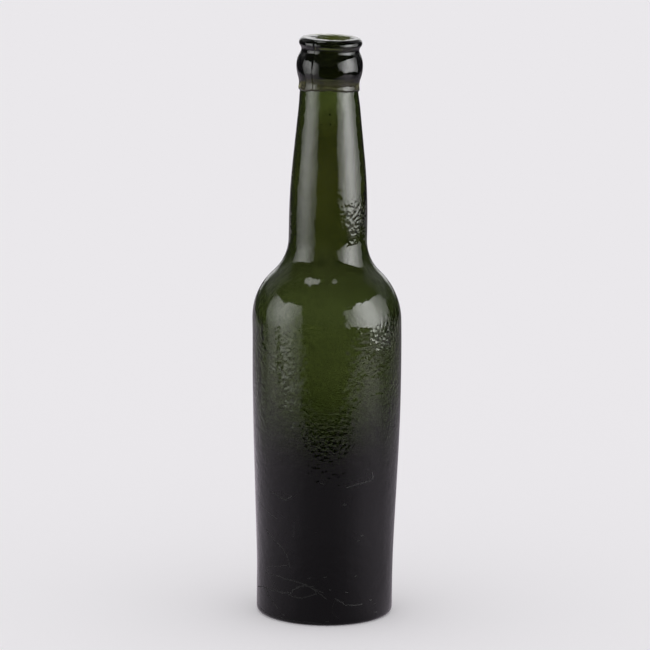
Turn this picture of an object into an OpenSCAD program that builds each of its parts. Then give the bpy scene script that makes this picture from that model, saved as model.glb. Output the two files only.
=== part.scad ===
// Mouth-blown crown-top bottle in dark olive glass, standing upright on the XY plane.
// Two gathers of glass: the blown bottle, open at its severed neck, and the lip that was
// added hot over that neck end and tooled to a collar, a groove and a crown ring.
// Every outline is a half section in [radius, height], revolved about Z. Lip, neck and
// shoulder are stacked down from the top, and the body fills the height that is left.

/* [Body] */
// Overall height, from the bearing ring to the top of the lip
bottle_h = 248; // [230:0.5:275]
// Diameter of the body where it is widest
body_d = 63.6; // [58:0.2:70]
// Height of the straight band between the widest place and the shoulder
body_band_h = 17; // [12:0.5:24]
// Height over which the body's taper curves into that band
body_ease_h = 40; // [20:1:50]

/* [Foot] */
// Diameter of the straight band at the foot
foot_d = 58.4; // [54:0.2:64]
// Height of the straight band at the foot
foot_h = 13; // [8:1:20]
// Height over which the band curves out into the body's taper
foot_ease_h = 18; // [8:1:26]
// Radius of the outer heel
heel_round = 2; // [1:0.1:3]
// Width of the flat ring that the bottle stands on
bearing_w = 3.1; // [2:0.1:5]
// Radius of the bearing ring's inner edge
bearing_round = 1.5; // [1:0.1:2]
// Height of the push-up's crown above the bearing ring
pushup_h = 9; // [6:0.5:12]

/* [Shoulder] */
// Radius of the rounded shoulder
shoulder_round = 27.2; // [24:0.2:29]
// Radius of the hollow where the shoulder runs up into the neck
root_round = 19.6; // [16:0.1:21]

/* [Neck] */
// Diameter at the root of the neck
neck_root_d = 33.4; // [31:0.2:36]
// Height of the neck's straight band above its root
neck_band_h = 6; // [4:0.5:12]
// Height over which the neck draws in, up to the lip
neck_draw_h = 57.5; // [48:0.5:64]
// Height over which the neck's band curves into the straight draw
neck_ease_h = 28.5; // [20:0.5:36]
// Diameter of the neck where the lip's lower edge lies
neck_top_d = 24.6; // [23:0.1:26]
// Length of neck that is hidden inside the lip
neck_seat_h = 6.5; // [5:0.5:9]

/* [Glass] */
// Thickness of the shoulder, the neck's root and the upper body
wall = 3.2; // [2.6:0.1:4]
// Thickness of the heavy wall at the foot
foot_wall = 6.6; // [5:0.1:8]
// Height up to which the heavy wall keeps its full thickness
heavy_h = 44; // [34:1:52]
// Height over which the heavy wall starts to thin
heavy_ease_h = 8; // [4:1:12]
// Height over which the thinning dies out towards the upper body
thinning_ease_h = 48; // [30:1:54]
// Thickness of the glass over the push-up
base_t = 7; // [5:0.5:9]
// Radius of the inside corner between the floor and the wall
floor_round = 6; // [4:0.5:8]

/* [Lip] */
// Height of the lip, from its lower edge to the top
lip_h = 22.5; // [21:0.5:26]
// Bore through the mouth, shaped by the plug of the lipping tool
bore_d = 14; // [13.2:0.1:15.2]
// Depth of that bore, below which it widens to the neck's bore
plug_h = 8; // [5:0.5:10]
// Bore of the neck's severed end
neck_bore_d = 16.4; // [15.6:0.1:17.4]
// Radius that eases the bore into the top land
mouth_round = 0.9; // [0.4:0.1:1.3]
// Diameter of the crown ring
crown_d = 26.6; // [25.8:0.1:27.4]
// Radius of the crown ring's rounded section
crown_round = 2.15; // [1.9:0.05:2.3]
// Depth of the locking groove below the crown ring
groove_depth = 1.1; // [0.9:0.05:1.4]
// Radius of the locking groove's hollow section
groove_round = 2.7; // [2:0.1:3]
// Thickness of the rolled edge that laps the neck
skirt_t = 0.6; // [0.45:0.05:0.8]
// Radius of that rolled edge
edge_round = 1.2; // [0.9:0.1:1.6]
// How far the collar swells beyond the rolled edge
collar_swell = 1.15; // [0.8:0.05:1.6]
// Radius of the collar's upper curve
collar_upper_round = 12; // [10:0.1:13]
// Radius of the collar's lower curve
collar_lower_round = 15.5; // [13.5:0.5:17]
// Radius of the hollow between the collar and the rolled edge
skirt_round = 8.5; // [7:0.1:10.5]

/* [Hidden] */

GLASS = [0.21, 0.25, 0.10];
TURN_FN = 96;     // facets of a revolved solid in the preview
ARC_STEP = 4;     // greatest turn of one chord of an arc, in degrees
MIN_CHORDS = 6;   // least number of chords in one arc
EASE_CHORDS = 12; // chords in one eased stretch

bore_r = bore_d / 2;
neck_bore_r = neck_bore_d / 2;
lip_z = bottle_h - lip_h;

// Lip, worked out downwards from the top, to the collar's widest line
crown_c = [crown_d / 2 - crown_round, bottle_h - crown_round];
groove_x = crown_d / 2 - groove_depth + groove_round;
groove_c = [groove_x, crown_c.y - leg(crown_round + groove_round, groove_x - crown_c.x)];
skirt_r = neck_top_d / 2 + skirt_t;
collar_r = skirt_r + collar_swell;
upper_x = collar_r - collar_upper_round;
collar_z = groove_c.y - leg(collar_upper_round + groove_round, groove_c.x - upper_x);
upper_c = [upper_x, collar_z];
lower_c = [collar_r - collar_lower_round, collar_z];

// Rolled edge, which meets the neck's skin at the lip's foot, and the hollow above it
edge_c = [skirt_r - edge_round, lip_z + leg(edge_round, edge_round - skirt_t)];
skirt_c = touching(edge_c, edge_round, lower_c, collar_lower_round, skirt_round);

// Neck: the root's band, the draw up to the lip and, in line with it, the severed end
neck_root_r = neck_root_d / 2;
neck_foot = [neck_root_r, lip_z - neck_draw_h];
neck_top = [neck_top_d / 2, lip_z];
neck_end_z = lip_z + neck_seat_h;
neck_end = [neck_top.x + neck_seat_h * draw_slope(neck_foot, neck_top, neck_ease_h, 0), neck_end_z];

// Shoulder and the hollow at the neck's root, which touch each other
body_r = body_d / 2;
shoulder_x = body_r - shoulder_round;
root_c = [neck_root_r + root_round, neck_foot.y - neck_band_h];
shoulder_c = [shoulder_x, root_c.y - leg(shoulder_round + root_round, root_c.x - shoulder_x)];

// Body and foot
foot_r = foot_d / 2;
foot_in_r = foot_r - foot_wall;
widest_z = shoulder_c.y - body_band_h;

// Push-up: a dome that is held by its crown and touches the bearing ring's inner edge
rim_c = [foot_r - heel_round - bearing_w, bearing_round];
dome_round = (rim_c.x * rim_c.x + pushup_h * pushup_h) / (2 * pushup_h) - bearing_round;
dome_c = [0, pushup_h - dome_round];

// Floor: the same dome, a base thickness higher, and its corner with the wall
floor_dome_round = dome_round + base_t;
corner_c = [foot_in_r - floor_round,
            dome_c.y + leg(floor_dome_round + floor_round, foot_in_r - floor_round)];

// Other leg of a right triangle with this hypotenuse and this leg
function leg(hypotenuse, known) = sqrt(hypotenuse * hypotenuse - known * known);

// Direction from one point to another, in degrees
function bearing(from, to) = atan2(to.y - from.y, to.x - from.x);

// Centre of a circle of radius r that touches two others from outside: the one at low, below
// it, and the one at high, above it, both to its left
function touching(low, low_r, high, high_r, r) =
    let (d = norm(high - low), u = (high - low) / d,
         along = (d * d + (low_r + r) * (low_r + r) - (high_r + r) * (high_r + r)) / (2 * d))
    low + along * u + leg(low_r + r, along) * [u.y, -u.x];

// Points along a circle's arc, both ends included
function arc(c, r, from, to) =
    let (n = max(MIN_CHORDS, ceil(abs(to - from) / ARC_STEP)))
    [for (i = [0:n]) let (a = from + (to - from) * i / n) [c.x + r * cos(a), c.y + r * sin(a)]];

// Share of two eased stretches that fits in the height they are given
function ease_fit(h, low, high) = min(1, h / (low + high));

// Slope, radius over height, of the straight stretch of an eased line
function draw_slope(from, to, low, high) =
    let (h = to.y - from.y, fit = ease_fit(h, low, high))
    (to.x - from.x) / (h - fit * (low + high) / 2);

// Line that rises from one point to another, and leaves the lower one and meets the upper one
// upright: parabolas of the heights low and high ease it in and out
function eased(from, to, low, high) =
    let (fit = ease_fit(to.y - from.y, low, high), slope = draw_slope(from, to, low, high))
    concat(
        [for (i = [0:EASE_CHORDS]) let (t = i / EASE_CHORDS)
            from + fit * low * [slope * t * t / 2, t]],
        high == 0 ? [to] : [for (i = [EASE_CHORDS:-1:0]) let (t = i / EASE_CHORDS)
            to - fit * high * [slope * t * t / 2, t]]);

// The same points in the other order
function reversed(points) = [for (i = [len(points) - 1:-1:0]) points[i]];

// Outside of the blown bottle, from the crown of the push-up to the severed neck end
function bottle_outside() = concat(
    arc(dome_c, dome_round, 90, bearing(dome_c, rim_c)),
    arc(rim_c, bearing_round, bearing(rim_c, dome_c), -90),
    arc([foot_r - heel_round, heel_round], heel_round, -90, 0),
    eased([foot_r, foot_h], [body_r, widest_z], foot_ease_h, body_ease_h),
    arc(shoulder_c, shoulder_round, 0, bearing(shoulder_c, root_c)),
    arc(root_c, root_round, bearing(root_c, shoulder_c) + 360, 180),
    eased(neck_foot, neck_top, neck_ease_h, 0),
    [neck_end]);

// Inside of the blown bottle, from the middle of the floor to the severed neck end
function bottle_inside() = concat(
    arc(dome_c, floor_dome_round, 90, bearing(dome_c, corner_c)),
    arc(corner_c, floor_round, bearing(corner_c, dome_c), 0),
    eased([foot_in_r, heavy_h], [body_r - wall, widest_z], heavy_ease_h, thinning_ease_h),
    arc(shoulder_c, shoulder_round - wall, 0, bearing(shoulder_c, root_c)),
    arc(root_c, root_round + wall, bearing(root_c, shoulder_c) + 360, 180),
    eased([neck_root_r - wall, neck_foot.y], [neck_bore_r, neck_end_z], neck_ease_h, 0));

// Outside of the lip, from its lower edge up to the top land
function lip_outside() = concat(
    arc(edge_c, edge_round, bearing(edge_c, neck_top), bearing(edge_c, skirt_c)),
    arc(skirt_c, skirt_round, bearing(skirt_c, edge_c) + 360, bearing(skirt_c, lower_c)),
    arc(lower_c, collar_lower_round, bearing(lower_c, skirt_c), 0),
    arc(upper_c, collar_upper_round, 0, bearing(upper_c, groove_c)),
    arc(groove_c, groove_round, bearing(groove_c, upper_c) + 360, bearing(groove_c, crown_c)),
    arc(crown_c, crown_round, bearing(crown_c, groove_c), 90));

// Inside of the lip, downwards: the mouth, the plugged bore, its widening and the seat on the
// neck's severed end
function lip_inside() = concat(
    arc([bore_r + mouth_round, bottle_h - mouth_round], mouth_round, 90, 180),
    [[bore_r, bottle_h - plug_h], [neck_bore_r, neck_end_z], neck_end]);

module revolve(section) {
    rotate_extrude($fn = TURN_FN) polygon(section);
}

// Body, shoulder, neck and push-up base, blown from one gather and open at the neck
module blown_bottle() {
    color(GLASS) revolve(concat(bottle_outside(), reversed(bottle_inside())));
}

// Second gather, wrapped hot over the severed neck and tooled to its crown ring and collar
module applied_lip() {
    color(GLASS) revolve(concat(lip_outside(), lip_inside()));
}

blown_bottle();
applied_lip();
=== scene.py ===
"""Looks of a mouth-blown crown-top bottle in dark olive glass, on a plain pale table.

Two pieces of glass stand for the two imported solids: the blown bottle, and the lip that was
wound hot over its severed neck. Both are closed surfaces of revolution that are then bent,
waved and creased a little, as work made by hand is. Small dark stones lie in the neck's wall.
Sizes in the classes are in millimetres, and the meshes are in metres, like the frame.
"""

import logging
import math
from dataclasses import dataclass
from enum import Enum

import bpy
import numpy as np
from mathutils import Matrix, Vector


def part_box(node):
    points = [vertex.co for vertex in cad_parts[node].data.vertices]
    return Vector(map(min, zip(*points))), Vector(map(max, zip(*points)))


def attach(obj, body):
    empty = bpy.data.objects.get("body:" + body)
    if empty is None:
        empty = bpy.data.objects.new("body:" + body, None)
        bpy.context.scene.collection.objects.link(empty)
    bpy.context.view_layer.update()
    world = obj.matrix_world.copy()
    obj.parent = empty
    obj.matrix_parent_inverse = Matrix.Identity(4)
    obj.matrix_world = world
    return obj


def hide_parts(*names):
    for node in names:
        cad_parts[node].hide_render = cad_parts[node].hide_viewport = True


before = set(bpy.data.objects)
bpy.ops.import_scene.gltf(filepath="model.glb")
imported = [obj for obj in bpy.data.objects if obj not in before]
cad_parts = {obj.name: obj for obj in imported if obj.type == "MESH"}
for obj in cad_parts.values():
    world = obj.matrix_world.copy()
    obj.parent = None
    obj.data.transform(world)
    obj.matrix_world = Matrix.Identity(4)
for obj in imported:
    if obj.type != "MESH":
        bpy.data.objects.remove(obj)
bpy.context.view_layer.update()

MM = 0.001
TURN = 2 * math.pi
BODY = "root"
log = logging.getLogger("bottle")

Socket = bpy.types.NodeSocket
Pair = tuple[float, float]
Color = tuple[float, float, float, float]


# ---------------------------------------------------------------- outlines


def leg(hypotenuse: float, known: float) -> float:
    """Other leg of a right triangle with this hypotenuse and this leg."""
    return math.sqrt(hypotenuse * hypotenuse - known * known)


def bearing(start: np.ndarray, end: np.ndarray) -> float:
    """Direction from one point to another, in degrees."""
    return math.degrees(math.atan2(end[1] - start[1], end[0] - start[0]))


def arc(centre: np.ndarray, radius: float, start: float, end: float) -> np.ndarray:
    """Points along a circle's arc: the centre plus the radius times cosine and sine.

    Args:
        centre: Centre as (radius, height), in mm.
        radius: Radius of the arc, in mm.
        start: First direction, in degrees.
        end: Last direction, in degrees.

    Returns:
        An array of (radius, height) rows, both ends included.
    """
    count = max(8, math.ceil(abs(end - start) / 1.5))
    turn = np.radians(np.linspace(start, end, count + 1))
    return np.asarray(centre) + radius * np.column_stack((np.cos(turn), np.sin(turn)))


def eased(start: np.ndarray, end: np.ndarray, low: float, high: float) -> np.ndarray:
    """Rising line that leaves its lower end and meets its upper end upright.

    The straight middle keeps one slope, and a parabola at each end, slope times t squared
    over 2, brings it to the vertical.

    Args:
        start: Lower end as (radius, height), in mm.
        end: Upper end as (radius, height), in mm.
        low: Height of the lower parabola, in mm.
        high: Height of the upper parabola, in mm.

    Returns:
        An array of (radius, height) rows.
    """
    start, end = np.asarray(start, float), np.asarray(end, float)
    height = end[1] - start[1]
    fit = min(1.0, height / (low + high))
    slope = (end[0] - start[0]) / (height - fit * (low + high) / 2)
    t = np.linspace(0.0, 1.0, 30)[:, None]
    bend = np.hstack((slope * t * t / 2, t))
    if high == 0:
        return np.vstack((start + fit * low * bend, end[None]))
    return np.vstack((start + fit * low * bend, end - fit * high * bend[::-1]))


def touching(low: np.ndarray, low_round: float, high: np.ndarray, high_round: float,
             between: float) -> np.ndarray:
    """Centre of the arc that touches two others from outside, away from the axis.

    Args:
        low: Centre of the lower arc, in mm.
        low_round: Its radius.
        high: Centre of the upper arc, in mm.
        high_round: Its radius.
        between: Radius of the arc that joins them.

    Returns:
        The centre as (radius, height).
    """
    apart = float(np.hypot(*(high - low)))
    way = (high - low) / apart
    along = (apart ** 2 + (low_round + between) ** 2 - (high_round + between) ** 2) / (2 * apart)
    return low + along * way + leg(low_round + between, along) * np.array([way[1], -way[0]])


def evened(points: np.ndarray, spacings: tuple[Pair, ...]) -> np.ndarray:
    """The same outline with its points spread evenly, closer where more detail stands.

    Args:
        points: Rows of (radius, height), in mm.
        spacings: Wanted distance between points at some heights, as (height, distance).

    Returns:
        New rows, with both ends kept.
    """
    steps = np.hypot(*np.diff(points, axis=0).T)
    kept = np.concatenate(([True], steps > 1e-6))
    points = points[kept]
    heights, distances = np.array(spacings).T
    local = np.interp((points[1:, 1] + points[:-1, 1]) / 2, heights, distances)
    steps = np.hypot(*np.diff(points, axis=0).T) / local
    along = np.concatenate(([0.0], np.cumsum(steps)))
    count = max(2, round(along[-1]))
    wanted = np.linspace(0.0, along[-1], count + 1)
    return np.column_stack([np.interp(wanted, along, points[:, axis]) for axis in (0, 1)])


def smooth(value: np.ndarray, low: float, high: float) -> np.ndarray:
    """Share from 0 at low to 1 at high, as three t squared less two t cubed."""
    t = np.clip((value - low) / (high - low), 0.0, 1.0)
    return t * t * (3 - 2 * t)


def hump(value: np.ndarray, middle: float, width: float) -> np.ndarray:
    """Bell that is 1 at its middle and falls off over its width."""
    return np.exp(-(((value - middle) / width) ** 2))


# ---------------------------------------------------------------- handwork


@dataclass(frozen=True)
class Waviness:
    """Low waves that blowing and turning leave in a wall."""

    seed: int
    slope: float
    shortest: float = 14.0
    longest: float = 60.0
    count: int = 60
    girth: float = 180.0

    def over(self, turn: np.ndarray, height: np.ndarray) -> np.ndarray:
        """Depth of the waves over a grid of turns and heights.

        The depth is a sum of cosines of (whole turns times angle, plus height over
        wavelength, plus phase), each as deep as its wavelength allows at one slope.

        Args:
            turn: Angles round the axis, one for each column, in radians.
            height: Heights or lengths along the outline, one for each row, in mm.

        Returns:
            Depths in mm, one row for each height.
        """
        draw = np.random.default_rng(self.seed)
        ratio = draw.random(self.count)
        wave = self.shortest * (self.longest / self.shortest) ** ratio
        lean = draw.uniform(-math.pi / 2, math.pi / 2, self.count)
        phase = draw.uniform(0, TURN, self.count)
        rounds = np.round(self.girth / wave * np.sin(lean))
        rise = TURN / wave * np.cos(lean)
        depth = math.radians(self.slope) * wave / TURN / math.sqrt(self.count / 2)
        across = np.exp(1j * np.outer(rounds, turn))
        upward = np.exp(1j * (np.outer(height, rise) + phase)) * depth
        return np.real(upward @ across)


@dataclass(frozen=True)
class Settling:
    """How the hot bottle sagged and its neck was set a little askew, as shifts along X."""

    bow: float = 0.20
    bow_height: float = 80.0
    bow_width: float = 34.0
    shoulder: float = -0.45
    shoulder_height: float = 143.0
    shoulder_width: float = 16.5
    lip_shift: float = -0.22
    lip_lean: float = 1.35
    lean_from: float = 217.0
    lean_full: float = 228.0

    def bend(self, points: np.ndarray) -> np.ndarray:
        """Shifts each level of a piece sideways and leans the lip over.

        The shift is a sum of bells of the height. Above the neck's end the shift grows with
        the height at the lean's slope, and each point drops by its own X times that slope.

        Args:
            points: Grid of points, in mm, with the coordinates last.

        Returns:
            The moved points.
        """
        x, y, z = np.moveaxis(points, -1, 0)
        share = smooth(z, self.lean_from, self.lean_full)
        slope = math.tan(math.radians(self.lip_lean))
        shift = self.bow * hump(z, self.bow_height, self.bow_width)
        shift += self.shoulder * hump(z, self.shoulder_height, self.shoulder_width)
        shift += share * (self.lip_shift + slope * (z - self.lean_full))
        return np.stack((x + shift, y, z - share * slope * x), axis=-1)


# ---------------------------------------------------------------- meshes


class Ends(Enum):
    """How the first and last row of a turned grid close."""

    POLES = "poles"
    RING = "ring"


def turned_mesh(name: str, grid: np.ndarray, ends: Ends) -> bpy.types.Object:
    """Makes a closed mesh from a grid whose columns run round the axis.

    Each cell of the grid is a four-sided face. Rows close on themselves. With POLES the
    first and last row are each one point, which a fan of triangles joins to the next row,
    and with RING the last row joins the first.

    Args:
        name: Name of the object.
        grid: Points in mm, as rows by columns by three.
        ends: How the rows close.

    Returns:
        The object, smooth shaded, with its faces outwards.
    """
    rows, columns = grid.shape[:2]
    fans = ends is Ends.POLES
    inner = grid[1:-1] if fans else grid
    count = len(inner)
    points = inner.reshape(-1, 3)
    index = np.arange(count * columns).reshape(count, columns)
    upper = index[1:] if fans else np.roll(index, -1, axis=0)
    lower = index[:-1] if fans else index
    quads = np.stack((lower, np.roll(lower, -1, 1), np.roll(upper, -1, 1), upper), axis=-1)
    corners = quads.reshape(-1)
    sizes = np.full(len(corners) // 4, 4)
    if fans:
        poles = np.array([grid[0].mean(axis=0), grid[-1].mean(axis=0)])
        points = np.vstack((points, poles))
        first, last = count * columns, count * columns + 1
        start = np.stack((np.full(columns, first), np.roll(index[0], -1), index[0]), axis=-1)
        finish = np.stack((np.full(columns, last), index[-1], np.roll(index[-1], -1)), axis=-1)
        corners = np.concatenate((corners, start.ravel(), finish.ravel()))
        sizes = np.concatenate((sizes, np.full(2 * columns, 3)))
    return solid_mesh(name, points * MM, corners, sizes)


def solid_mesh(name: str, points: np.ndarray, corners: np.ndarray,
               sizes: np.ndarray) -> bpy.types.Object:
    """Puts whole arrays into a new mesh object and turns its faces outwards.

    Args:
        name: Name of the object.
        points: Vertices in metres.
        corners: Vertex of each face corner, face after face.
        sizes: Number of corners of each face.

    Returns:
        The object, at the origin.
    """
    starts = np.concatenate(([0], np.cumsum(sizes)[:-1]))
    a = points[corners[starts]]
    b = points[corners[starts + 1]]
    c = points[corners[starts + 2]]
    d = points[corners[starts + sizes - 1]]
    volume = (np.einsum("ij,ij->i", a, np.cross(b, c))
              + np.einsum("ij,ij->i", a, np.cross(c, d))).sum()
    if volume < 0:
        corners = np.concatenate([part[::-1] for part in np.split(corners, starts[1:])])
    mesh = bpy.data.meshes.new(name)
    mesh.vertices.add(len(points))
    mesh.vertices.foreach_set("co", points.astype(np.float32).ravel())
    mesh.loops.add(len(corners))
    mesh.loops.foreach_set("vertex_index", corners.astype(np.int32))
    mesh.polygons.add(len(sizes))
    mesh.polygons.foreach_set("loop_start", starts.astype(np.int32))
    mesh.polygons.foreach_set("use_smooth", np.ones(len(sizes), bool))
    mesh.update(calc_edges=True)
    mesh.validate()
    made = bpy.data.objects.new(name, mesh)
    bpy.context.scene.collection.objects.link(made)
    return made


# ---------------------------------------------------------------- node helpers


@dataclass
class Nodes:
    """A material's or the world's node tree, with short ways to add nodes to it."""

    tree: bpy.types.NodeTree

    def add(self, kind: str, **settings: object) -> bpy.types.Node:
        """Adds a node of a kind and sets its properties."""
        node = self.tree.nodes.new(kind)
        for name, value in settings.items():
            setattr(node, name, value)
        return node

    def feed(self, value: object, socket: Socket) -> None:
        """Links a socket to another, or writes a constant into it."""
        if isinstance(value, Socket):
            self.tree.links.new(value, socket)
        else:
            socket.default_value = value

    def math(self, operation: str, *values: object, clamp: bool = False) -> Socket:
        """Result of a Math node."""
        node = self.add("ShaderNodeMath", operation=operation, use_clamp=clamp)
        for value, socket in zip(values, node.inputs):
            self.feed(value, socket)
        return node.outputs[0]

    def vector(self, operation: str, *values: object) -> Socket:
        """Result of a Vector Math node, its number for lengths and products."""
        node = self.add("ShaderNodeVectorMath", operation=operation)
        for value, socket in zip(values, node.inputs):
            self.feed(value, socket)
        number = operation in ("LENGTH", "DISTANCE", "DOT_PRODUCT")
        return node.outputs["Value" if number else "Vector"]

    def ramp(self, value: object, low: float, high: float, first: float = 0.0,
             last: float = 1.0) -> Socket:
        """Smooth change from one number at low to another at high."""
        node = self.add("ShaderNodeMapRange", interpolation_type="SMOOTHSTEP")
        for socket, number in zip(node.inputs, (value, low, high, first, last)):
            self.feed(number, socket)
        return node.outputs[0]

    def mix_color(self, share: object, first: object, second: object,
                  blend: str = "MIX") -> Socket:
        """Colour between two colours, or one blended over the other."""
        node = self.add("ShaderNodeMix", data_type="RGBA", blend_type=blend)
        for name, value in (("Factor_Float", share), ("A_Color", first), ("B_Color", second)):
            socket = next(s for s in node.inputs if s.identifier == name)
            self.feed(value, socket)
        return next(s for s in node.outputs if s.identifier == "Result_Color")

    def mirrored(self, path: bpy.types.Node) -> Socket:
        """1 for a ray that a gloss mirrors, 0 for one that clear glass lets through."""
        return self.math("SUBTRACT", path.outputs["Is Glossy Ray"],
                         path.outputs["Is Transmission Ray"], clamp=True)

    def noise(self, place: object, scale: float, detail: float = 2.0,
              roughness: float = 0.5, distortion: float = 0.0) -> Socket:
        """Noise from 0 to 1 at so many cells in a metre."""
        node = self.add("ShaderNodeTexNoise")
        self.feed(place, node.inputs["Vector"])
        node.inputs["Scale"].default_value = scale
        node.inputs["Detail"].default_value = detail
        node.inputs["Roughness"].default_value = roughness
        node.inputs["Distortion"].default_value = distortion
        return node.outputs["Fac"]


class Surface(Nodes):
    """The nodes of one new material, with the place on the object and its three axes."""

    def __init__(self, name: str) -> None:
        """Makes an empty node material of this name."""
        self.material = bpy.data.materials.new(name)
        self.material.use_nodes = True
        super().__init__(self.material.node_tree)
        self.tree.nodes.clear()
        self.output = self.add("ShaderNodeOutputMaterial")
        self.place = self.add("ShaderNodeTexCoord").outputs["Object"]
        self.axes = self.add("ShaderNodeSeparateXYZ")
        self.feed(self.place, self.axes.inputs[0])
        self.height = self.axes.outputs["Z"]

    def turn(self) -> Socket:
        """Turn round the bottle's axis from the front, in radians."""
        back = self.math("MULTIPLY", self.axes.outputs["Y"], -1.0)
        return self.math("ARCTAN2", self.axes.outputs["X"], back)

    def finished(self, shader: bpy.types.Node, socket: str = "Surface") -> bpy.types.Material:
        """Links a shader to the output and hands over the material."""
        self.feed(shader.outputs[0], self.output.inputs[socket])
        return self.material

    def ramped(self, value: object, stops: tuple[tuple[float, tuple], ...]
               ) -> Socket:
        """Colour along a ramp, from 0 to 1.

        Args:
            value: Place along the ramp.
            stops: Position and colour of each stop, in order.

        Returns:
            The colour's socket.
        """
        ramp = self.add("ShaderNodeValToRGB")
        marks = ramp.color_ramp.elements
        for _ in stops[2:]:
            marks.new(0.5)
        for mark, (position, color) in zip(marks, stops):
            mark.position = position
            mark.color = (*color, 1.0)
        self.feed(value, ramp.inputs[0])
        return ramp.outputs["Color"]


# ---------------------------------------------------------------- finishes


@dataclass(frozen=True)
class Hairline:
    """A straight scratch on the wall, from one (turn in degrees, height in mm) to another."""

    start: Pair
    end: Pair
    width: float
    strength: float


def scratch(*points: Pair, width: float = 0.44,
            strength: float = 0.6) -> tuple[Hairline, ...]:
    """Hairlines that join points of (turn, height) one after another."""
    return tuple(Hairline(start, end, width, strength) for start, end in zip(points, points[1:]))


@dataclass(frozen=True)
class Chatter:
    """A patch of pimpled skin, where the glass chilled against the tool."""

    turn: float
    height: float
    reach: float
    depth: float
    radius: float


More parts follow.
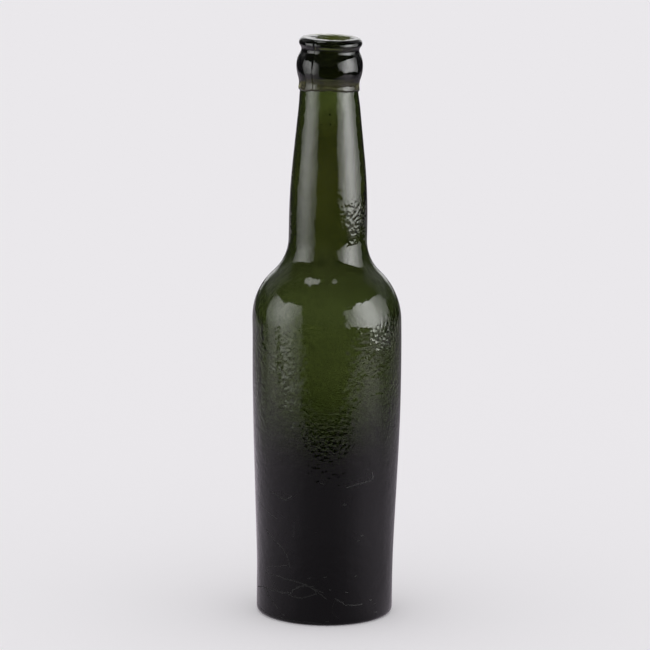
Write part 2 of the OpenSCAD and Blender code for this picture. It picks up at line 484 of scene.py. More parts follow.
@dataclass(frozen=True)
class OliveGlass:
    """Dark olive bottle glass: clear, slightly uneven, deepest in its thick foot."""

    name: str
    scratches: tuple[Hairline, ...] = ()
    patches: tuple[Chatter, ...] = ()
    scuffed_to: float = 95.0
    scuff_share: float = 0.42
    scratch_rough: float = 0.7
    stray: float = 1.4
    girth_radius: float = 30.0
    density: float = 640.0
    clear: Color = (0.36, 0.43, 0.07, 1.0)
    index: float = 1.52
    tint_drift: float = 14.0
    polish: float = 0.015
    cloud: float = 0.035
    skin_depth: float = 0.05
    body_grain: float = 1.0
    grain_rises: Pair = (48.0, 64.0)
    grain_falls: Pair = (126.0, 136.0)
    shades: tuple[tuple[float, ...], ...] = (
        (36.0, 0.05, 0.05, 0.045), (58.0, 0.20, 0.19, 0.17), (80.0, 0.70, 0.71, 0.68),
        (110.0, 0.73, 0.74, 0.70), (134.0, 0.81, 0.82, 0.80), (148.0, 0.73, 0.71, 0.72),
        (165.0, 0.60, 0.59, 0.46), (186.0, 0.68, 0.64, 0.52), (205.0, 0.60, 0.57, 0.38),
        (222.0, 0.90, 0.90, 0.86),
    )

    def material(self) -> bpy.types.Material:
        """Builds the glass: its tint, its skin, its wear and the colour of its depth."""
        made = Surface(self.name)
        shader = made.add("ShaderNodeBsdfPrincipled")
        shader.inputs["Transmission Weight"].default_value = 1.0
        shader.inputs["IOR"].default_value = self.index
        made.feed(self.tint(made), shader.inputs["Base Color"])
        made.feed(self.roughness(made, self.wear(made)), shader.inputs["Roughness"])
        made.feed(self.skin(made), shader.inputs["Normal"])
        depth = made.add("ShaderNodeVolumeAbsorption")
        depth.inputs["Color"].default_value = self.clear
        depth.inputs["Density"].default_value = self.density
        made.finished(depth, "Volume")
        return made.finished(shader)

    def tint(self, made: Surface) -> Socket:
        """Colour that the surface adds at each height: near black in the heavy foot.

        Args:
            made: The glass's nodes.

        Returns:
            The colour's socket.
        """
        streak = made.noise(made.vector("MULTIPLY", made.place, (1.0, 1.0, 0.35)), 60.0, 3.0)
        low = made.math("SUBTRACT", made.height, self.tint_drift / 2 * MM)
        height = made.math("MULTIPLY_ADD", streak, self.tint_drift * MM, low)
        top = self.shades[-1][0]
        stops = tuple((level / top, shade) for level, *shade in self.shades)
        return made.ramped(made.math("DIVIDE", height, top * MM), stops)

    def wear(self, made: Surface) -> Socket:
        """Scratches from 0 to 1 on the wall that other bottles rubbed against.

        Each scratch is 1 on its segment and falls to 0 past its width. The distance is
        measured on the unrolled wall, as (turn times radius, height), and strays a little.

        Args:
            made: The glass's nodes.

        Returns:
            The share's socket.
        """
        flat = made.add("ShaderNodeCombineXYZ")
        made.feed(made.math("MULTIPLY", made.turn(), self.girth_radius * MM), flat.inputs[0])
        made.feed(made.height, flat.inputs[1])
        wobble = made.add("ShaderNodeTexNoise")
        made.feed(made.place, wobble.inputs["Vector"])
        wobble.inputs["Scale"].default_value = 260.0
        stray = self.stray * MM
        strayed = made.vector("MULTIPLY_ADD", wobble.outputs["Color"], (stray, stray, 0.0),
                              flat.outputs[0])
        total = self.hairlines(made)
        for line in self.scratches:
            ends = [Vector((math.radians(turn) * self.girth_radius + self.stray / 2,
                            height + self.stray / 2, 0.0)) * MM
                    for turn, height in (line.start, line.end)]
            run = ends[1] - ends[0]
            from_start = made.vector("SUBTRACT", strayed, tuple(ends[0]))
            share = made.math("DIVIDE", made.vector("DOT_PRODUCT", from_start, tuple(run)),
                              run.length_squared, clamp=True)
            nearest = made.add("ShaderNodeVectorMath", operation="SCALE")
            nearest.inputs[0].default_value = tuple(run)
            made.feed(share, nearest.inputs["Scale"])
            gap = made.vector("DISTANCE", from_start, nearest.outputs[0])
            mark = made.ramp(gap, 0.2 * line.width * MM, 0.7 * line.width * MM,
                             line.strength, 0.0)
            total = made.math("MAXIMUM", total, mark)
        return total

    def hairlines(self, made: Surface) -> Socket:
        """Faint crossing hairlines, broken up by noise, that thin out up the wall.

        Args:
            made: The glass's nodes.

        Returns:
            The share's socket.
        """
        cells = made.add("ShaderNodeTexVoronoi", feature="DISTANCE_TO_EDGE")
        warp = made.add("ShaderNodeTexNoise")
        made.feed(made.place, warp.inputs["Vector"])
        warp.inputs["Scale"].default_value = 45.0
        bent = made.vector("MULTIPLY_ADD", warp.outputs["Color"], (0.03, 0.03, 0.03), made.place)
        made.feed(bent, cells.inputs["Vector"])
        cells.inputs["Scale"].default_value = 75.0
        line = made.ramp(cells.outputs["Distance"], 0.004, 0.014, 1.0, 0.0)
        broken = made.ramp(made.noise(made.place, 95.0, 2.0), 0.54, 0.66)
        low = made.ramp(made.height, 0.25 * self.scuffed_to * MM, self.scuffed_to * MM,
                        self.scuff_share, 0.0)
        return made.math("MULTIPLY", made.math("MULTIPLY", line, broken), low)

    def roughness(self, made: Surface, wear: Socket) -> Socket:
        """Fire polish, clouded a little by handling and dulled along the scratches."""
        cloud = made.ramp(made.noise(made.place, 38.0, 4.0, 0.6), 0.45, 0.75, self.polish,
                          self.polish + self.cloud)
        return made.math("MULTIPLY_ADD", wear, self.scratch_rough, cloud)

    def skin(self, made: Surface) -> Socket:
        """Fine unevenness of the skin, deeper in the pimpled patches.

        The depth is noise of about 1 mm, deeper on the body and in a bell round the middle of
        each patch, plus noise of about 5 mm.

        Args:
            made: The glass's nodes.

        Returns:
            The bumped normal's socket.
        """
        rises, falls = self.grain_rises, self.grain_falls
        grain = made.math("MULTIPLY", made.ramp(made.height, rises[0] * MM, rises[1] * MM),
                          made.ramp(made.height, falls[0] * MM, falls[1] * MM,
                                    self.body_grain, 0.0))
        fine = made.math("MULTIPLY", made.noise(made.place, 700.0, 0.0),
                         made.math("ADD", grain, 1.0))
        broad = made.math("MULTIPLY", made.noise(made.place, 190.0, 1.0), 4.0)
        gain = 1.0
        for patch in self.patches:
            turn = math.radians(patch.turn)
            middle = (patch.radius * MM * math.sin(turn), -patch.radius * MM * math.cos(turn),
                      patch.height * MM)
            gap = made.vector("DISTANCE", made.place, middle)
            bell = made.ramp(gap, 0.25 * patch.reach * MM, patch.reach * MM, patch.depth, 0.0)
            gain = made.math("ADD", bell, gain)
        bump = made.add("ShaderNodeBump")
        bump.inputs["Distance"].default_value = self.skin_depth * MM
        made.feed(made.math("MULTIPLY_ADD", fine, gain, broad), bump.inputs["Height"])
        return bump.outputs[0]


@dataclass(frozen=True)
class StoneFinish:
    """Unmelted specks of batch in the glass, dark and glossy."""

    name: str = "batch_stone"
    color: Color = (0.010, 0.012, 0.006, 1.0)
    pale_color: Color = (0.03, 0.03, 0.02, 1.0)
    gloss: float = 0.2

    def material(self) -> bpy.types.Material:
        """Builds the dark speck's finish, with a little change of colour."""
        made = Surface(self.name)
        shader = made.add("ShaderNodeBsdfPrincipled")
        shade = made.mix_color(made.noise(made.place, 900.0), self.color, self.pale_color)
        made.feed(shade, shader.inputs["Base Color"])
        shader.inputs["Roughness"].default_value = self.gloss
        return made.finished(shader)


# ---------------------------------------------------------------- the glass


@dataclass
class BlownBottle:
    """The blown gather: push-up base, heel, body, shoulder and neck, open at the neck."""

    body_r: float
    neck_end_z: float
    lip_z: float
    finish: OliveGlass
    settling: Settling
    body_band_h: float = 17.0
    body_ease_h: float = 40.0
    foot_r: float = 29.2
    foot_h: float = 13.0
    foot_ease_h: float = 18.0
    heel_round: float = 2.0
    bearing_w: float = 3.1
    bearing_round: float = 1.5
    pushup_h: float = 9.0
    shoulder_round: float = 27.2
    root_round: float = 19.6
    neck_root_r: float = 16.7
    neck_band_h: float = 6.0
    neck_draw_h: float = 57.5
    neck_ease_h: float = 28.5
    neck_top_r: float = 12.3
    wall: float = 3.2
    foot_wall: float = 6.6
    heavy_h: float = 44.0
    heavy_ease_h: float = 8.0
    thinning_ease_h: float = 48.0
    base_t: float = 7.0
    floor_round: float = 6.0
    neck_bore_r: float = 8.2
    columns: int = 240
    wavy_from: Pair = (3.0, 20.0)
    wavy_to: Pair = (214.0, 223.0)
    outer_spacing: tuple[Pair, ...] = (
        (4.0, 0.45), (7.0, 1.5), (132.0, 1.5), (138.0, 0.95), (206.0, 0.95), (214.0, 0.45))
    inner_spacing: tuple[Pair, ...] = ((0.0, 2.6),)
    skin: Waviness = Waviness(seed=7, slope=0.16)
    inside: Waviness = Waviness(seed=19, slope=0.9, shortest=18.0, longest=70.0)

    def __post_init__(self) -> None:
        """Works out the centres of the outline's arcs."""
        neck_foot_z = self.lip_z - self.neck_draw_h
        self.neck_foot = np.array([self.neck_root_r, neck_foot_z])
        self.neck_top = np.array([self.neck_top_r, self.lip_z])
        self.root_c = np.array([self.neck_root_r + self.root_round,
                                neck_foot_z - self.neck_band_h])
        across = self.body_r - self.shoulder_round
        drop = leg(self.shoulder_round + self.root_round, self.root_c[0] - across)
        self.shoulder_c = np.array([across, self.root_c[1] - drop])
        self.widest_z = self.shoulder_c[1] - self.body_band_h
        self.rim_c = np.array([self.foot_r - self.heel_round - self.bearing_w,
                               self.bearing_round])
        dome = (self.rim_c[0] ** 2 + self.pushup_h ** 2) / (2 * self.pushup_h)
        self.dome_round = dome - self.bearing_round
        self.dome_c = np.array([0.0, self.pushup_h - self.dome_round])

    def outside(self) -> np.ndarray:
        """Outline from the push-up's crown, round the heel and up to the neck's end."""
        tip = bearing(self.dome_c, self.rim_c)
        draw = eased(self.neck_foot, self.neck_top, self.neck_ease_h, 0.0)
        slope = (draw[-1] - draw[-2]) / (draw[-1][1] - draw[-2][1])
        end = self.neck_top + slope * (self.neck_end_z - self.lip_z)
        return np.vstack((
            arc(self.dome_c, self.dome_round, 90.0, tip),
            arc(self.rim_c, self.bearing_round, tip - 180.0, -90.0),
            arc((self.foot_r - self.heel_round, self.heel_round), self.heel_round, -90.0, 0.0),
            eased((self.foot_r, self.foot_h), (self.body_r, self.widest_z),
                  self.foot_ease_h, self.body_ease_h),
            arc(self.shoulder_c, self.shoulder_round, 0.0,
                bearing(self.shoulder_c, self.root_c)),
            arc(self.root_c, self.root_round, bearing(self.root_c, self.shoulder_c) + 360.0,
                180.0),
            draw,
            end[None],
        ))

    def hollow(self) -> np.ndarray:
        """Outline of the cavity, from the middle of the floor up to the neck's end."""
        foot_in = self.foot_r - self.foot_wall
        dome = self.dome_round + self.base_t
        rise = leg(dome + self.floor_round, foot_in - self.floor_round)
        corner = np.array([foot_in - self.floor_round, self.dome_c[1] + rise])
        tip = bearing(self.dome_c, corner)
        return np.vstack((
            arc(self.dome_c, dome, 90.0, tip),
            arc(corner, self.floor_round, tip - 180.0, 0.0),
            eased((foot_in, self.heavy_h), (self.body_r - self.wall, self.widest_z),
                  self.heavy_ease_h, self.thinning_ease_h),
            arc(self.shoulder_c, self.shoulder_round - self.wall, 0.0,
                bearing(self.shoulder_c, self.root_c)),
            arc(self.root_c, self.root_round + self.wall,
                bearing(self.root_c, self.shoulder_c) + 360.0, 180.0),
            eased((self.neck_root_r - self.wall, self.neck_foot[1]),
                  (self.neck_bore_r, self.neck_end_z), self.neck_ease_h, 0.0),
        ))

    def grid(self) -> np.ndarray:
        """Points of the whole surface: the outline turned about Z, then waved and settled.

        A point is (radius plus wave) times the cosine and sine of its turn, at its height.
        The waves fade out at the base and where the lip is seated.

        Returns:
            Rows by columns by three, in mm.
        """
        turn = np.linspace(0.0, TURN, self.columns, endpoint=False)
        parts = []
        for outline, spacing, waves in ((self.outside(), self.outer_spacing, self.skin),
                                        (self.hollow()[::-1], self.inner_spacing, self.inside)):
            line = evened(outline, spacing)
            level = line[:, 1]
            fade = smooth(level, *self.wavy_from) * (1.0 - smooth(level, *self.wavy_to))
            depth = waves.over(turn, level) * fade[:, None]
            radius = line[:, :1] + np.where(line[:, :1] > 1e-6, depth, 0.0)
            parts.append(np.stack((radius * np.cos(turn), radius * np.sin(turn),
                                   np.broadcast_to(level[:, None], radius.shape)), axis=-1))
        return self.settling.bend(np.concatenate(parts))

    def build(self) -> bpy.types.Object:
        """Makes the bottle, dresses it and sets it on the frame in place of its solid."""
        grid = self.grid()
        widest = np.abs(grid[..., :2]).max()
        grid[..., :2] *= min(1.0, self.body_r / widest)
        made = turned_mesh("bottle_glass", grid, Ends.POLES)
        made.data.materials.append(self.finish.material())
        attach(made, BODY)
        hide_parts("blown_bottle")
        return made


@dataclass
class AppliedLip:
    """The second gather, tooled to a collar, a groove and a crown ring round the bore."""

    top_z: float
    foot_z: float
    seat_z: float
    collar_r: float
    neck_top_r: float
    neck_end_r: float
    finish: OliveGlass
    settling: Settling
    bore_r: float = 7.0
    plug_h: float = 8.0
    neck_bore_r: float = 8.2
    mouth_round: float = 0.9
    mouth_shift: float = 1.2
    crown_r: float = 13.3
    crown_round: float = 2.15
    groove_depth: float = 1.1
    groove_round: float = 2.7
    skirt_t: float = 0.6
    edge_round: float = 1.2
    collar_upper_round: float = 12.0
    collar_lower_round: float = 15.5
    skirt_round: float = 8.5
    seat_gap: float = 0.05
    edge_mean: float = 0.3
    edge_rise: float = 0.6
    crease_turn: float = -31.0
    crease_width: float = 0.03
    crowding: float = 0.6
    columns: int = 320

    def outline(self) -> np.ndarray:
        """Outline from the skirt's edge up over collar, groove and ring, down to the seat."""
        crown = np.array([self.crown_r - self.crown_round, self.top_z - self.crown_round])
        groove_x = self.crown_r - self.groove_depth + self.groove_round
        groove = np.array([groove_x, crown[1] - leg(self.crown_round + self.groove_round,
                                                    groove_x - crown[0])])
        upper_x = self.collar_r - self.collar_upper_round
        collar_z = groove[1] - leg(self.collar_upper_round + self.groove_round,
                                   groove[0] - upper_x)
        upper = np.array([upper_x, collar_z])
        lower = np.array([self.collar_r - self.collar_lower_round, collar_z])
        edge = np.array([self.neck_top_r + self.skirt_t - self.edge_round,
                         self.foot_z + leg(self.edge_round, self.edge_round - self.skirt_t)])
        skirt = touching(edge, self.edge_round, lower, self.collar_lower_round,
                         self.skirt_round)
        foot = bearing(edge, np.array([self.neck_top_r, self.foot_z])) + 4.0
        return np.vstack((
            [[self.neck_top_r + self.seat_gap, self.foot_z + 0.1]],
            arc(edge, self.edge_round, foot, bearing(edge, skirt)),
            arc(skirt, self.skirt_round, bearing(skirt, edge) + 360, bearing(skirt, lower)),
            arc(lower, self.collar_lower_round, bearing(lower, skirt), 0.0),
            arc(upper, self.collar_upper_round, 0.0, bearing(upper, groove)),
            arc(groove, self.groove_round, bearing(groove, upper) + 360.0,
                bearing(groove, crown)),
            arc(crown, self.crown_round, bearing(crown, groove), 90.0),
            arc((self.bore_r + self.mouth_round, self.top_z - self.mouth_round),
                self.mouth_round, 90.0, 180.0),
            [[self.bore_r, self.top_z - self.plug_h]],
            [[self.neck_bore_r, self.seat_z + self.seat_gap]],
            [[self.neck_end_r + self.seat_gap, self.seat_z + self.seat_gap]],
        ))

    def grid(self) -> np.ndarray:
        """Points of the lip: its outline turned about Z, then worked by hand.

        The columns crowd together round the crease, as u less a share of the sine of u. The
        lower edge runs up and down as a sum of cosines, highest in front, and slides along the
        neck's taper. The outer skin carries low waves, and one crease, a narrow bell of the
        turn, runs down the whole lip. The mouth stands a little to one side.

        Returns:
            Rows by columns by three, in mm.
        """
        line = evened(np.vstack((self.outline(), self.outline()[:1])), ((0.0, 0.34),))[:-1]
        even = np.linspace(-math.pi, math.pi, self.columns, endpoint=False)
        from_crease = even - self.crowding * np.sin(even)
        turn = from_crease + math.radians(self.crease_turn - 90.0)
        radius, level = line[:, :1], line[:, 1:]
        outer = smooth(radius, self.neck_end_r, self.neck_end_r + 1.2)
        low = 1.0 - smooth(level, self.foot_z + 0.5, self.foot_z + 5.0)
        ragged = Waviness(seed=5, slope=9.0, shortest=3.0, longest=9.0, girth=80.0)
        edge = (self.edge_mean - self.edge_rise * np.cos(2 * turn)
                + 0.18 * np.cos(5 * turn + 2.1) + ragged.over(turn, level[:1, 0]))
        slid = low * smooth(radius, self.neck_bore_r + 1.0, self.neck_end_r) * edge
        taper = (self.neck_top_r - self.neck_end_r) / (self.seat_z - self.foot_z)
        waves = Waviness(seed=31, slope=1.6, shortest=6.0, longest=26.0, girth=86.0)
        depth = waves.over(turn, level[:, 0]) * outer - taper * slid
        crease = hump(from_crease, 0.0, self.crease_width) * (0.7 + 0.3 * np.cos(level * 0.9))
        depth = depth - 0.28 * crease * outer
        depth = depth - 0.10 * outer * smooth(level, self.top_z - 3.0, self.top_z)
        height = level + slid - 0.12 * crease * smooth(level, 240.0, 248.0) * outer
        rounded = radius + depth
        inner = 1.0 - smooth(radius, self.bore_r + 0.8, self.crown_r - self.crown_round)
        aside = self.mouth_shift * inner * smooth(level, self.top_z - self.plug_h, self.top_z)
        rim = 0.09 * np.cos(9 * turn) + 0.08 * np.cos(17 * turn + 1.0)
        height = height + (rim - 0.17) * inner * smooth(level, self.top_z - 2.0, self.top_z)
        grid = np.stack((rounded * np.cos(turn) + aside, rounded * np.sin(turn),
                         np.broadcast_to(height, rounded.shape)), axis=-1)
        return self.settling.bend(grid)

    def build(self) -> bpy.types.Object:
        """Makes the lip, lowers it under the frame's top and dresses it."""
        grid = self.grid()
        over = grid[..., 2].max() - self.top_z
        share = smooth(grid[..., 2], self.seat_z, self.top_z)
        grid[..., 2] -= max(0.0, over) * share
        made = turned_mesh("lip_glass", grid, Ends.RING)
        made.data.materials.append(self.finish.material())
        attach(made, BODY)
        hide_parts("applied_lip")
        return made


@dataclass
class BatchStones:
    """Small dark stones and seeds that stayed in the wall of the neck and the body."""

    settling: Settling
    finish: StoneFinish
    places: tuple[tuple[float, ...], ...] = (
        (1.0, 216.6, 10.6, 0.42), (-16.0, 212.3, 10.9, 0.30), (2.0, 212.6, 10.9, 0.30),
        (-12.0, 210.6, 11.1, 0.20), (34.0, 117.6, 30.3, 0.26), (-41.0, 175.0, 15.2, 0.16),
        (-58.0, 161.0, 15.4, 0.18), (140.0, 190.0, 14.0, 0.30), (-120.0, 131.0, 29.4, 0.34),
        (95.0, 170.0, 15.0, 0.24), (160.0, 96.0, 30.0, 0.34), (-150.0, 205.0, 12.2, 0.26),
    )
    rings: int = 7
    columns: int = 10

    def build(self) -> bpy.types.Object:
        """Makes every stone as a small egg, upright, in one mesh.

        A point of an egg is its middle plus its size times (cosine of latitude times cosine
        and sine of turn, 1.3 times sine of latitude).

        Returns:
            The object, riding on the bottle's body.
        """
        turn = np.linspace(0.0, TURN, self.columns, endpoint=False)
        tilt = np.linspace(-math.pi / 2, math.pi / 2, self.rings)[1:-1]
        shell = np.stack((np.outer(np.cos(tilt), np.cos(turn)),
                          np.outer(np.cos(tilt), np.sin(turn)),
                          1.3 * np.outer(np.sin(tilt), np.ones_like(turn))), axis=-1)
        shell = np.vstack((shell.reshape(-1, 3), [[0.0, 0.0, -1.3]], [[0.0, 0.0, 1.3]]))
        rows = self.rings - 2
        index = np.arange(rows * self.columns).reshape(rows, self.columns)
        beside = np.roll(index, -1, axis=1)
        walls = np.stack((index[:-1], beside[:-1], beside[1:], index[1:]), axis=-1)
        south, north = len(shell) - 2, len(shell) - 1
        below = np.stack((np.full(self.columns, south), beside[0], index[0]), axis=-1)
        above = np.stack((np.full(self.columns, north), index[-1], beside[-1]), axis=-1)
        corners = np.concatenate((walls.ravel(), below.ravel(), above.ravel()))
        sizes = np.concatenate((np.full(walls.size // 4, 4), np.full(2 * self.columns, 3)))
        spots = np.array(self.places)
        angle = np.radians(spots[:, 0])
        middle = np.stack((spots[:, 2] * np.sin(angle), -spots[:, 2] * np.cos(angle),
                           spots[:, 1]), axis=-1)
        points = self.settling.bend(middle)[:, None] + spots[:, 3, None, None] * shell
        shift = np.arange(len(spots))[:, None] * len(shell)
        made = solid_mesh("batch_stones", points.reshape(-1, 3) * MM,
                          (corners + shift).ravel(), np.tile(sizes, len(spots)))
        made.data.materials.append(self.finish.material())
        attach(made, BODY)
        return made


# ---------------------------------------------------------------- the studio


def flat_face(name: str, corners: list[tuple[float, float, float]],
              material: bpy.types.Material) -> bpy.types.Object:
    """Makes one flat face of the studio.

    Args:
        name: Name of the face.
        corners: Its corners in order, in metres.
        material: What it is made of.

    Returns:
        The object.
    """
    mesh = bpy.data.meshes.new(name)
    mesh.from_pydata(corners, [], [tuple(range(len(corners)))])
    mesh.materials.append(material)
    made = bpy.data.objects.new(name, mesh)
    bpy.context.scene.collection.objects.link(made)
    return made


@dataclass(frozen=True)
class PaleTable:
    """Plain pale table top under the bottle, with its front edge near the lens."""

    half_size: float = 12.0
    drop: float = 0.05
    color: Color = (0.823, 0.806, 0.831, 1.0)
    glow: float = 0.15
    front_edge: float = -0.315
    right_reach: float = 0.085
    left_reach: float = 0.25
    half_width: float = 0.60
    shine_color: Color = (1.0, 0.91, 1.02, 1.0)
    near_share: float = 0.85
    far_front: float = 0.9
    far_back: float = -0.5
    shine: tuple[Pair, ...] = (
        (-180, 0.50), (-165, 0.62), (-150, 0.62), (-125, 0.52), (-90, 0.45), (-75, 0.43),
        (-60, 0.39), (-45, 0.33), (-30, 0.25), (-10, 0.22), (10, 0.22), (30, 0.27), (45, 0.37),
        (60, 0.48), (75, 0.51), (88, 0.49), (100, 0.43), (130, 0.38), (145, 0.33), (160, 0.33),
        (180, 0.50),
    )

    def build(self) -> bpy.types.Object:
        """Makes the floor as one flat square."""
        signs = ((-1, -1), (1, -1), (1, 1), (-1, 1))
        corners = [(self.half_size * x, self.half_size * y, -self.drop * MM) for x, y in signs]
        return flat_face("table", corners, self.material())

    def material(self) -> bpy.types.Material:
        """Matt and pale. Gloss sees it darken towards the lens and end at its front edge."""
        made = Surface("pale_table")
        matt = made.add("ShaderNodeBsdfDiffuse")
        matt.inputs["Color"].default_value = self.color
        glow = made.add("ShaderNodeEmission")
        glow.inputs["Color"].default_value = self.color
        glow.inputs["Strength"].default_value = self.glow
        seen = made.add("ShaderNodeAddShader")
        made.feed(matt.outputs[0], seen.inputs[0])
        made.feed(glow.outputs[0], seen.inputs[1])
        shine = made.add("ShaderNodeEmission")
        shine.inputs["Color"].default_value = self.shine_color
        made.feed(made.math("MULTIPLY", self.level(made), self.edge(made)),
                  shine.inputs["Strength"])
        path = made.add("ShaderNodeLightPath")
        either = made.add("ShaderNodeMixShader")
        made.feed(made.mirrored(path), either.inputs[0])
        made.feed(seen.outputs[0], either.inputs[1])
        made.feed(shine.outputs[0], either.inputs[2])
        return made.finished(either)

    def level(self, made: Surface) -> Socket:
        """Brightness that gloss sees: a ramp over the turn, times a change with the distance, a
        little lower close to the bottle and, far out, higher in front and lower behind.
        """
        turn = made.turn()
        stops = tuple((degrees / 360.0 + 0.5, (share,) * 3) for degrees, share in self.shine)
        around = made.ramped(made.math("MULTIPLY_ADD", turn, 1.0 / TURN, 0.5), stops)
        away = made.vector("LENGTH", made.vector("MULTIPLY", made.place, (1.0, 1.0, 0.0)))
        offside = made.math("ABSOLUTE", made.math("ADD", turn, math.radians(5.0)))
        gain = made.ramp(offside, math.radians(80.0), math.radians(105.0), self.far_front,
                         self.far_back)
        far = made.math("MULTIPLY_ADD", made.ramp(away, 0.22, 0.62), gain, 1.0)
        near = made.math("MULTIPLY", made.ramp(away, 0.08, 0.16, self.near_share, 1.0), far)
        return made.math("MULTIPLY", around, near)

    def edge(self, made: Surface) -> Socket:
        """1 on the table top, and next to nothing past its front edge and its sides."""
        x = made.axes.outputs["X"]
        reach = made.math("ADD", made.ramp(x, 0.10, 0.28, 0.0, -self.right_reach),
                          made.ramp(x, -0.40, -0.26, -self.left_reach, 0.0))
        past = made.math("SUBTRACT", made.axes.outputs["Y"], reach)
        front = made.ramp(past, self.front_edge - 0.004, self.front_edge, 0.06, 1.0)
        wide = made.ramp(made.math("ABSOLUTE", x), self.half_width, self.half_width + 0.02,
                         1.0, 0.15)
        return made.math("MULTIPLY", front, wide)


@dataclass(frozen=True)
class SoftPanel:
    """A diffusing panel that lights the glass by its reflection, upright beside the bottle.

    The panel lies square to its turn at its distance, and runs from one turn to another.
    """

    name: str
    turn: float
    distance: float
    turns: Pair
    lows: Pair
    high: float
    strength: float
    low_share: float = 1.0
    bright_turn: float = 0.0
    bright_width: float = 400.0
    pedestal: float = 0.0

    def build(self) -> bpy.types.Object:
        """Makes the panel as one upright face, seen by gloss alone."""
        facing = math.radians(self.turn)
        middle = Vector((math.sin(facing), -math.cos(facing), 0.0)) * self.distance
        side = Vector((math.cos(facing), math.sin(facing), 0.0)) * self.distance
        feet = [middle + side * math.tan(math.radians(end) - facing) for end in self.turns]
        corners = [(foot.x, foot.y, low) for foot, low in zip(feet, self.lows)]
        corners += [(foot.x, foot.y, self.high) for foot in feet[::-1]]
        made = flat_face(self.name, corners, self.material())
        hide_from_all_but_gloss(made)
        return made

    def material(self) -> bpy.types.Material:
        """White light that fades a little to the foot and, as a bell of the turn, to the sides."""
        made = Surface(self.name)
        low = min(self.lows)
        level = made.ramp(made.height, low, low + 0.55 * (self.high - low), self.low_share, 1.0)
        off = made.math("DIVIDE", made.math("SUBTRACT", made.turn(),
                                            math.radians(self.bright_turn)),
                        math.radians(self.bright_width))
        bell = made.math("POWER", math.e, made.math("MULTIPLY", made.math("MULTIPLY", off, off),
                                                    -1.0))
        bell = made.math("MULTIPLY_ADD", bell, 1.0 - self.pedestal, self.pedestal)
        glow = made.add("ShaderNodeEmission")
        made.feed(made.math("MULTIPLY", made.math("MULTIPLY", level, bell), self.strength),
                  glow.inputs["Strength"])
        return made.finished(glow)


@dataclass(frozen=True)
class OverheadLamp:
    """A small round diffuser overhead."""

    name: str
    turn: float
    elevation: float
    distance: float
    radius: float
    strength: float

    def build(self) -> bpy.types.Object:
        """Makes the diffuser as a disc that faces the bottle's shoulder."""
        turn, lift = math.radians(self.turn), math.radians(self.elevation)
        way = Vector((math.sin(turn) * math.cos(lift), -math.cos(turn) * math.cos(lift),
                      math.sin(lift)))
        middle = Vector((0.0, 0.0, 0.15)) + way * self.distance
        across = way.cross(Vector((0.0, 0.0, 1.0))).normalized()
        along = way.cross(across)
        angles = np.linspace(0.0, TURN, 40, endpoint=False)
        rim = [tuple(middle + (across * math.cos(a) + along * math.sin(a)) * self.radius)
               for a in angles]
        surface = Surface(self.name)
        glow = surface.add("ShaderNodeEmission")
        glow.inputs["Strength"].default_value = self.strength
        made = flat_face(self.name, rim, surface.finished(glow))
        hide_from_all_but_gloss(made)
        return made


def hide_from_all_but_gloss(panel: bpy.types.Object) -> None:
    """Leaves a panel to reflections, so that it is never in the way of a view."""
    panel.visible_camera = False
    panel.visible_diffuse = False
    panel.visible_transmission = False
    panel.visible_volume_scatter = False
    panel.visible_shadow = False


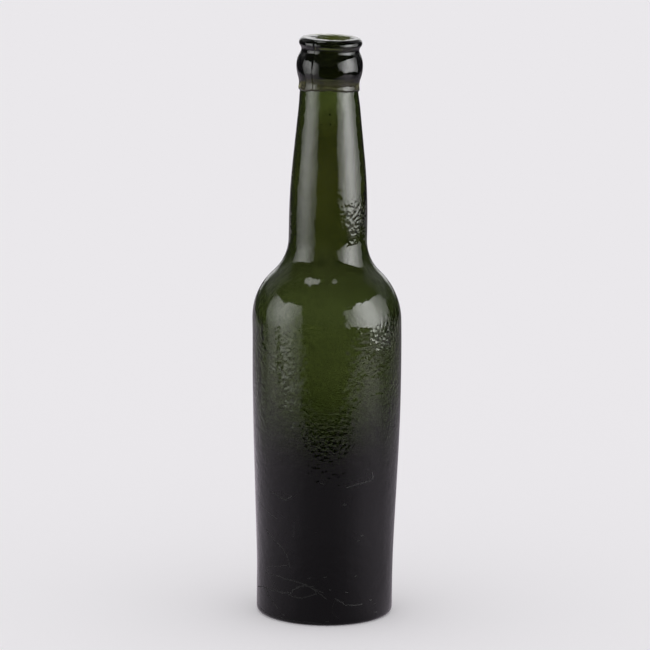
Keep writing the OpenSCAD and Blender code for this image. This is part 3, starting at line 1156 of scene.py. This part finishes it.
@dataclass(frozen=True)
class Studio:
    """Pale surroundings, an even light for the table, and the lens."""

    pale: Color = (0.823, 0.806, 0.831, 1.0)
    even_light: float = 0.85
    lens_distance: float = 1.835
    lens_height: float = 0.492
    pitch: float = 11.322
    roll: float = 0.60
    yaw: float = -0.0287
    focal_length: float = 243.9

    def surround(self) -> None:
        """Lights the world: pale where it is looked at, dark towards the lens in gloss."""
        world = bpy.data.worlds.new("studio")
        bpy.context.scene.world = world
        world.use_nodes = True
        world.node_tree.nodes.clear()
        nodes = Nodes(world.node_tree)
        output = nodes.add("ShaderNodeOutputWorld")
        path = nodes.add("ShaderNodeLightPath")
        way = nodes.add("ShaderNodeSeparateXYZ")
        nodes.feed(nodes.add("ShaderNodeTexCoord").outputs["Generated"], way.inputs[0])
        deep, up = way.outputs["Y"], way.outputs["Z"]
        beside = nodes.math("MULTIPLY", nodes.ramp(deep, 0.20, 0.45, 0.0, 0.2),
                            nodes.ramp(up, 0.15, 0.35))
        behind = nodes.math("MULTIPLY", nodes.ramp(deep, 0.86, 0.96, 0.0, 0.9),
                            nodes.ramp(up, 0.45, 0.75, 1.0, 0.12))
        over = nodes.math("MULTIPLY", nodes.ramp(deep, 0.93, 0.97, 0.0, 0.35),
                          nodes.ramp(up, 0.05, 0.12))
        gloss = nodes.math("ADD", nodes.math("ADD", beside, 0.05), nodes.math("ADD", behind, over))
        looked_at = nodes.math("MAXIMUM", path.outputs["Is Camera Ray"],
                               path.outputs["Is Transmission Ray"])
        lit = nodes.ramp(looked_at, 0.0, 1.0, self.even_light, 1.0)
        strength = nodes.add("ShaderNodeMix", data_type="FLOAT")
        nodes.feed(nodes.mirrored(path), strength.inputs[0])
        nodes.feed(lit, strength.inputs[2])
        nodes.feed(gloss, strength.inputs[3])
        tint = nodes.mix_color(looked_at, (1.0, 1.0, 1.0, 1.0), self.pale)
        glow = nodes.add("ShaderNodeBackground")
        nodes.feed(tint, glow.inputs["Color"])
        nodes.feed(strength.outputs[0], glow.inputs["Strength"])
        nodes.feed(glow.outputs[0], output.inputs["Surface"])

    def lens(self) -> bpy.types.Object:
        """Sets up the camera in front of the bottle, above it and turned a little.

        Returns:
            The camera, which is also the scene's.
        """
        data = bpy.data.cameras.new("lens")
        data.lens = self.focal_length
        data.sensor_width = 36.0
        data.clip_end = 100.0
        made = bpy.data.objects.new("lens", data)
        bpy.context.scene.collection.objects.link(made)
        turned = (Matrix.Rotation(math.radians(-self.yaw), 4, "Z")
                  @ Matrix.Rotation(math.radians(90.0 - self.pitch), 4, "X")
                  @ Matrix.Rotation(math.radians(self.roll), 4, "Z"))
        made.matrix_world = (Matrix.Translation((0.0, -self.lens_distance, self.lens_height))
                             @ turned)
        bpy.context.scene.camera = made
        return made

    def build(self) -> None:
        """Sets the world, the lens and the plain view transform."""
        self.surround()
        self.lens()
        bpy.context.scene.view_settings.view_transform = "Standard"


# ---------------------------------------------------------------- all of it


SCRATCHES = (
    *scratch((-48.3, 56.3), (-34.1, 54.0), (-28.4, 56.2), strength=1.0),
    *scratch((17.2, 61.0), (40.7, 63.1), (40.5, 65.8), strength=0.8),
    *scratch((-71.0, 51.5), (-59.5, 48.0), (-42.6, 45.0), strength=0.6),
    *scratch((-57.2, 39.1), (-38.8, 33.0), (-33.8, 30.4), (-29.9, 24.9), strength=0.9),
    *scratch((-25.9, 45.0), (-26.9, 37.9), strength=0.5),
    *scratch((-60.0, 19.8), (-41.3, 20.0), (-19.8, 18.5), (-1.0, 14.7), strength=0.9),
    *scratch((-79.0, 11.0), (-61.5, 13.0), (-38.0, 13.0), (-28.0, 14.0), strength=1.0),
    *scratch((-59.8, 12.8), (-48.1, 8.0), (-43.2, 6.0), strength=1.0),
    *scratch((-31.0, 12.5), (-23.4, 17.0), (-9.4, 17.6), (-6.9, 14.1), (-18.6, 12.0),
             (-29.0, 12.0), strength=1.0),
    *scratch((-28.0, 15.0), (-16.3, 18.3), (-1.2, 13.4), (2.2, 12.4), strength=0.9),
    *scratch((9.0, 12.2), (18.4, 9.3), (27.6, 8.4), (33.5, 8.5), strength=0.9),
    *scratch((-56.8, 22.8), (-53.8, 19.2), strength=0.6),
    *scratch((-56.8, 22.4), (-33.8, 25.5), strength=0.7),
    *scratch((-88.0, 3.6), (-60.0, 2.2), (-20.0, 1.4), (-2.0, 1.3), width=0.36, strength=1.0),
    *(speck for turn, height in (
        (-2.7, 62.9), (0.5, 21.7), (-12.9, 20.6), (4.8, 16.0), (19.3, 14.8), (47.8, 7.8),
        (49.3, 3.8), (2.3, 2.3), (-36.8, 3.5), (43.0, 9.9), (27.2, 21.5), (28.2, 36.8),
        (15.9, 53.1), (31.8, 38.8))
      for speck in scratch((turn - 1.0, height), (turn + 1.0, height), width=0.5, strength=1.0)),
)
# Lip glass colour by height: its own tint from 230 mm up, and below that a painted shade that
# darkens it down to its lower edge, where it sits on the neck.
LIP_TINT_AND_SEAT_SHADE = (
    (223.0, 0.40, 0.38, 0.33), (230.0, 0.75, 0.68, 0.60), (250.0, 0.75, 0.68, 0.60),
)
NECK_PATCHES = (
    Chatter(50.0, 174.0, 11.0, 9.0, 15.5), Chatter(52.0, 126.0, 12.0, 3.0, 31.5),
    Chatter(4.0, 83.0, 16.0, 3.0, 31.5),
)
PANELS = (
    SoftPanel("left_panel", -54.5, 0.553, (-37.0, -80.0), (0.0, 0.0), 0.44, 3.3, 0.55,
              -72.0, 28.0),
    SoftPanel("left_back_panel", -92.0, 0.613, (-80.0, -104.0), (0.0, 0.0), 0.44, 3.3, 0.55,
              -72.0, 28.0),
    SoftPanel("dark_stand", -77.0, 0.54, (-73.5, -80.5), (0.0, 0.0), 0.042, 0.08),
    SoftPanel("right_panel", 70.0, 0.75, (29.0, 114.0), (0.12, -0.03), 0.60, 6.6, 0.9,
              69.0, 25.0, 0.12),
)
LAMPS = (
    OverheadLamp("left_lamp", -80.0, 72.0, 0.70, 0.12, 3.0),
    OverheadLamp("right_lamp", 52.0, 77.0, 0.70, 0.05, 1.8),
)


def main() -> None:
    """Builds the glass, then the studio round it."""
    logging.basicConfig(level=logging.INFO, format="%(name)s: %(message)s")
    bottle_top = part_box("blown_bottle")[1] / MM
    lip_low, lip_high = (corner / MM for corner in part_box("applied_lip"))
    settling = Settling()
    bottle = BlownBottle(bottle_top.x, bottle_top.z, lip_low.z,
                         OliveGlass("olive_glass_body", SCRATCHES, NECK_PATCHES), settling)
    neck_end_r = bottle.outside()[-1][0]
    lip = AppliedLip(lip_high.z, lip_low.z, bottle_top.z, lip_high.x, bottle.neck_top_r,
                     neck_end_r, OliveGlass("olive_glass_lip", shades=LIP_TINT_AND_SEAT_SHADE), settling)
    stones = BatchStones(settling, StoneFinish())
    for maker in (bottle, lip, stones):
        made = maker.build()
        log.info("%s: %d faces, on %s", made.name, len(made.data.polygons), BODY)
    studio = Studio()
    studio.build()
    for fitting in (PaleTable(), *PANELS, *LAMPS):
        log.info("%s set up", fitting.build().name)


if __name__ == "__main__":
    main()
